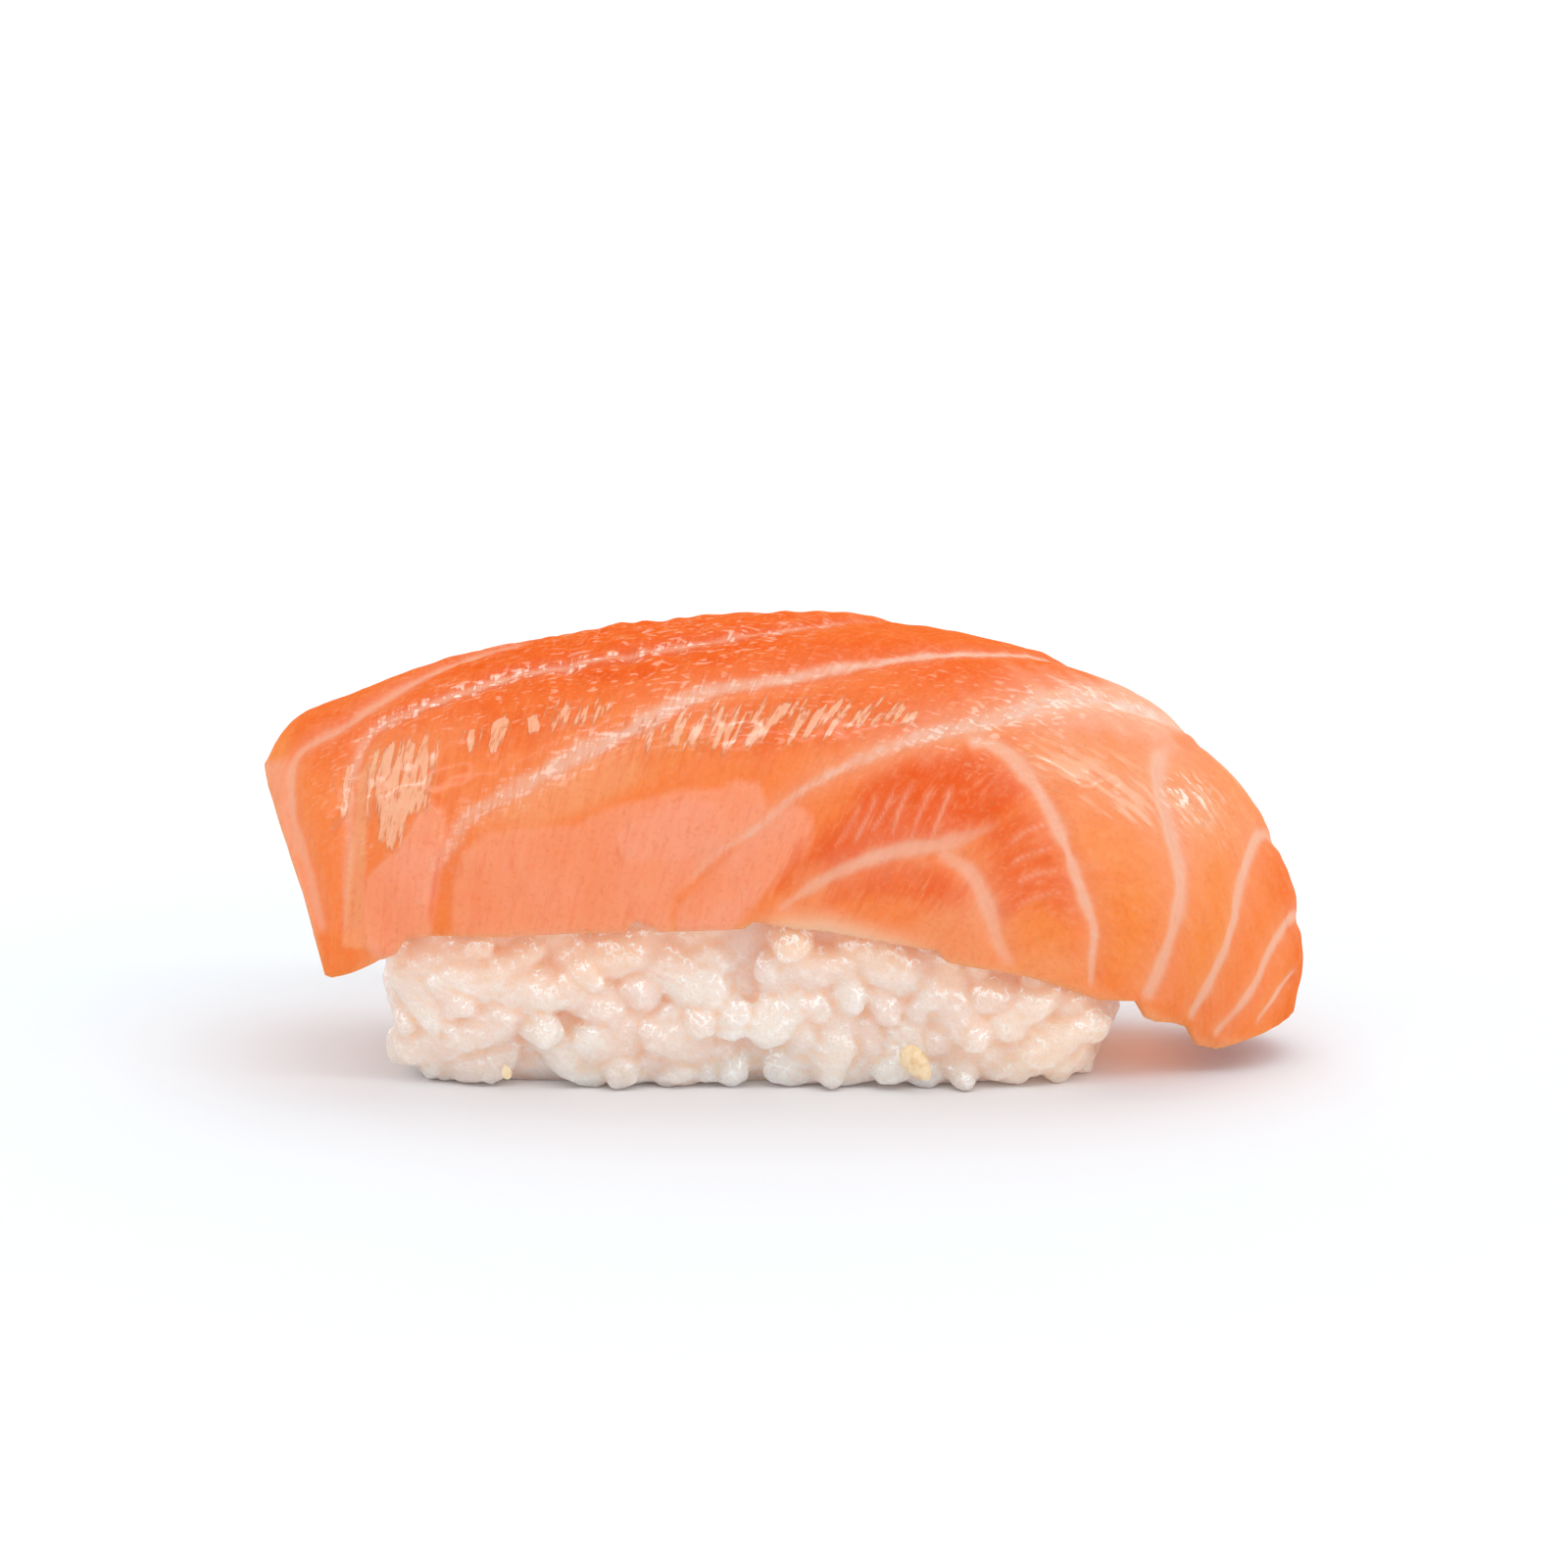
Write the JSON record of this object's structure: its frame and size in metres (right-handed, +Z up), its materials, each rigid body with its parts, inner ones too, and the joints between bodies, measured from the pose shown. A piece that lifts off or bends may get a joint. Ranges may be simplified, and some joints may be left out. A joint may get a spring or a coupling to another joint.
{
  "type": "salmon nigiri",
  "caption": "A slice of raw salmon draped over an oblong block of pressed sushi rice, with one sesame seed on the rice.",
  "frame": {"origin": "on the surface that the rice stands on, under the middle of the whole piece's box", "axes": "+X along the slice towards its drooping tip, +Z up, and the side that the picture shows faces -Y"},
  "size_m": [0.0744, 0.0284, 0.0316],
  "materials": {
    "salmon": "raw salmon, orange with pale seams, wet and glossy",
    "rice": "cooked short-grain rice, milky white and moist"
  },
  "bodies": {
    "root": {"salmon_slice": "salmon", "rice_block": "rice"}
  },
  "joints": []
}
